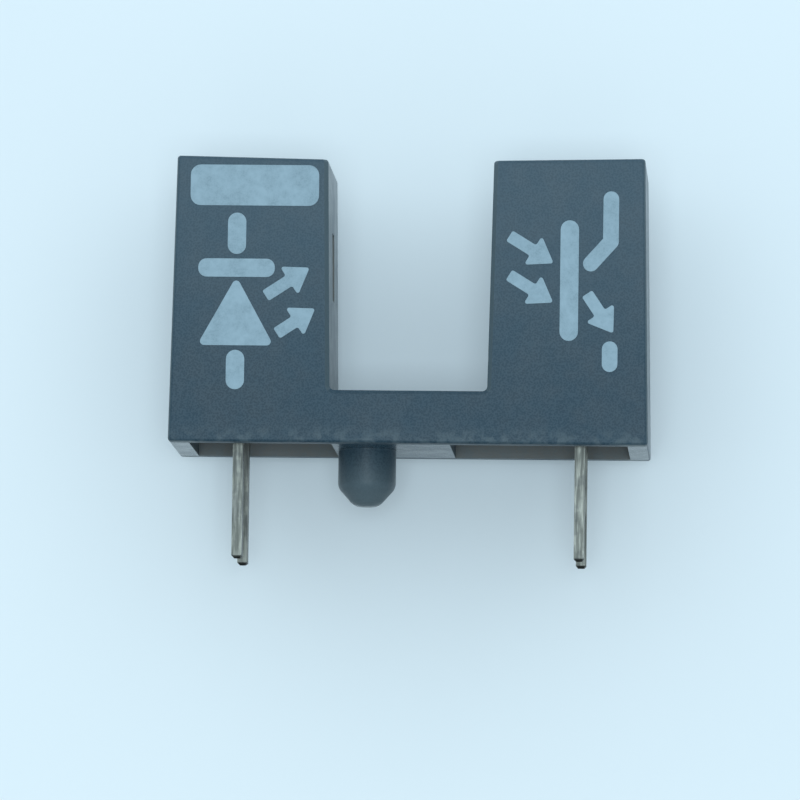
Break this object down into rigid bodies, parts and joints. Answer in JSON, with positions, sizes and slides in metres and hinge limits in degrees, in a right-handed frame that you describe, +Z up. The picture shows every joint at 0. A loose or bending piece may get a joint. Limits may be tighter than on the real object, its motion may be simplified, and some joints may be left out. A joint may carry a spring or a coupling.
{
  "type": "photo interrupter",
  "caption": "U-shaped through-beam photo interrupter for circuit boards: dark moulded housing with a slot between two arms, flat tinned leads and an off-centre locating boss.",
  "frame": {"origin": "middle of the seating face that stands on the circuit board, on the line between the two arms", "axes": "+X across the slot from the emitter arm to the detector arm, -Y out of the marked front face, +Z up along the arms, with the leads and the boss pointing along -Z"},
  "size_m": [0.014, 0.005, 0.0117],
  "materials": {
    "housing_plastic": "slate-dark moulded thermoplastic, satin",
    "emitter_epoxy": "tinted casting epoxy, smooth",
    "detector_epoxy": "black infrared-passing epoxy, smooth",
    "tinned_lead": "dull tin plating on iron strip",
    "chip": "sawn semiconductor die",
    "gold_wire": "bare gold"
  },
  "bodies": {
    "root": {"housing": "housing_plastic", "emitter_package": "emitter_epoxy", "detector_package": "detector_epoxy", "anode_lead": "tinned_lead", "cathode_lead": "tinned_lead", "collector_lead": "tinned_lead", "transistor_emitter_lead": "tinned_lead", "emitter_chip": "chip", "detector_chip": "chip", "emitter_bond_wire": "gold_wire", "detector_bond_wire": "gold_wire"}
  },
  "joints": []
}
